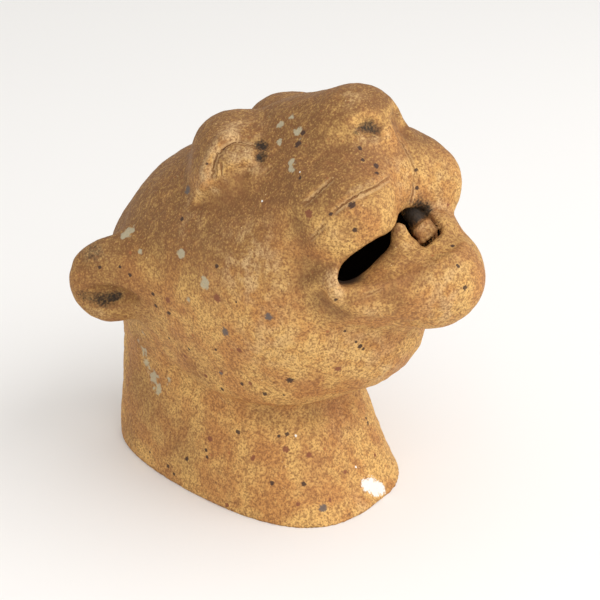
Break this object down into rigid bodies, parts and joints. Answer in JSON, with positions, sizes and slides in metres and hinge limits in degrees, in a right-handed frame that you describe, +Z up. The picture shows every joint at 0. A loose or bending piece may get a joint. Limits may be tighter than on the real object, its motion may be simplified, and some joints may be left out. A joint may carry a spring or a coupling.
{
  "type": "ceramic gargoyle head",
  "caption": "Hollow stoneware animal gargoyle head thrown back on a short flared neck, with an open toothed mouth.",
  "frame": {"origin": "on the ground, under the middle of the whole head's box", "axes": "+Z up, the creature faces -Y, its left ear is on +X"},
  "size_m": [0.1158, 0.1612, 0.1591],
  "materials": {
    "stoneware": "unglazed, iron-speckled ochre stoneware, dull, with lichen and dirt"
  },
  "bodies": {
    "root": {"gargoyle_head": "stoneware"}
  },
  "joints": []
}
